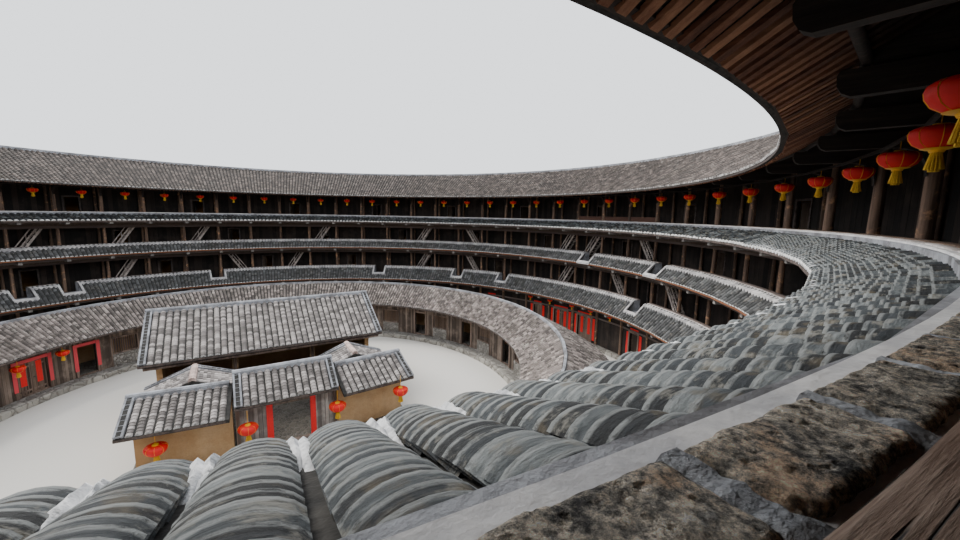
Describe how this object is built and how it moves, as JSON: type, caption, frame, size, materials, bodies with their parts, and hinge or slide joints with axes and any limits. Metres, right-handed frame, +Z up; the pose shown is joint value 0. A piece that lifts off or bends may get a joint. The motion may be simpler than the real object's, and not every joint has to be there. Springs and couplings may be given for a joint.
{
  "type": "tulou roundhouse, 1:2 scale model",
  "caption": "Round earth-walled clan house: timber galleries in a ring under a tiled roof, a low inner ring and a small hall in the court, at half size.",
  "frame": {"origin": "centre of the ring on the ground", "axes": "+Z up, the gate at -Y, the rear of the hall towards +Y"},
  "size_m": [30.3514, 30.3, 7.3352],
  "materials": {
    "stone": "rough-dressed stone",
    "earth": "rammed earth and earth plaster",
    "tile": "grey fired-clay roof tile",
    "mortar": "lime mortar and grey brick",
    "gallery_timber": "weathered brown timber",
    "dark_timber": "smoke-dark timber",
    "plank_timber": "grey-brown planks",
    "lantern": "red cloth"
  },
  "bodies": {
    "root": {"stone_plinth": "stone", "earth_wall_front": "earth", "earth_wall_right": "earth", "earth_wall_rear": "earth", "earth_wall_left": "earth", "gate_frame": "stone", "gate_leaf_left": "dark_timber", "gate_leaf_right": "dark_timber", "ground_floor": "stone", "room_wall_1": "dark_timber", "gallery_2_front": "gallery_timber", "gallery_2_right": "gallery_timber", "gallery_2_rear": "gallery_timber", "gallery_2_left": "gallery_timber", "parapet_2": "mortar", "apron_2": "tile", "room_wall_2": "dark_timber", "gallery_3_front": "gallery_timber", "gallery_3_right": "gallery_timber", "gallery_3_rear": "gallery_timber", "gallery_3_left": "gallery_timber", "parapet_3": "mortar", "apron_3": "tile", "room_wall_3": "dark_timber", "gallery_4_front": "gallery_timber", "gallery_4_right": "gallery_timber", "gallery_4_rear": "gallery_timber", "gallery_4_left": "gallery_timber", "parapet_4": "mortar", "apron_4": "tile", "room_wall_4": "dark_timber", "roof_inner_slope": "tile", "roof_outer_slope": "tile", "roof_ridge": "mortar", "lanterns": "lantern", "inner_platform": "stone", "inner_front_wall": "plank_timber", "inner_back_wall": "earth", "inner_roof": "tile", "hall_platform": "stone", "hall_walls": "earth", "hall_roof": "tile", "front_roof_centre": "tile", "front_wall_centre": "plank_timber", "front_roof_left": "tile", "front_wall_left": "earth", "side_roof_left": "tile", "front_roof_right": "tile", "front_wall_right": "earth", "side_roof_right": "tile"},
    "inner_leaf_left": {"inner_door_left": "plank_timber"},
    "ground_leaf_1_left": {"ground_door_1_left": "dark_timber"},
    "ground_leaf_2_left": {"ground_door_2_left": "dark_timber"},
    "inner_leaf_right": {"inner_door_right": "plank_timber"},
    "ground_leaf_1_right": {"ground_door_1_right": "dark_timber"},
    "ground_leaf_2_right": {"ground_door_2_right": "dark_timber"}
  },
  "joints": [
    {"name": "inner_leaf_left_hinge", "type": "hinge", "parent": "root", "child": "inner_leaf_left", "pos_m": [-5.67636, 4.02986, 0.625], "axis": [0, 0, 1], "range_deg": [0, 90]},
    {"name": "ground_leaf_1_left_hinge", "type": "hinge", "parent": "root", "child": "ground_leaf_1_left", "pos_m": [11.41269, 1.01681, 0.6], "axis": [0, 0, 1], "range_deg": [0, 90]},
    {"name": "ground_leaf_2_left_hinge", "type": "hinge", "parent": "root", "child": "ground_leaf_2_left", "pos_m": [11.45356, -0.315, 0.6], "axis": [0, 0, 1], "range_deg": [0, 90]},
    {"name": "inner_leaf_right_hinge", "type": "hinge", "parent": "root", "child": "inner_leaf_right", "pos_m": [-5.24097, 4.58181, 0.625], "axis": [0, 0, 1], "range_deg": [-90, 0]},
    {"name": "ground_leaf_1_right_hinge", "type": "hinge", "parent": "root", "child": "ground_leaf_1_right", "pos_m": [11.45356, 0.315, 0.6], "axis": [0, 0, 1], "range_deg": [-90, 0]},
    {"name": "ground_leaf_2_right_hinge", "type": "hinge", "parent": "root", "child": "ground_leaf_2_right", "pos_m": [11.41269, -1.01681, 0.6], "axis": [0, 0, 1], "range_deg": [-90, 0]}
  ]
}
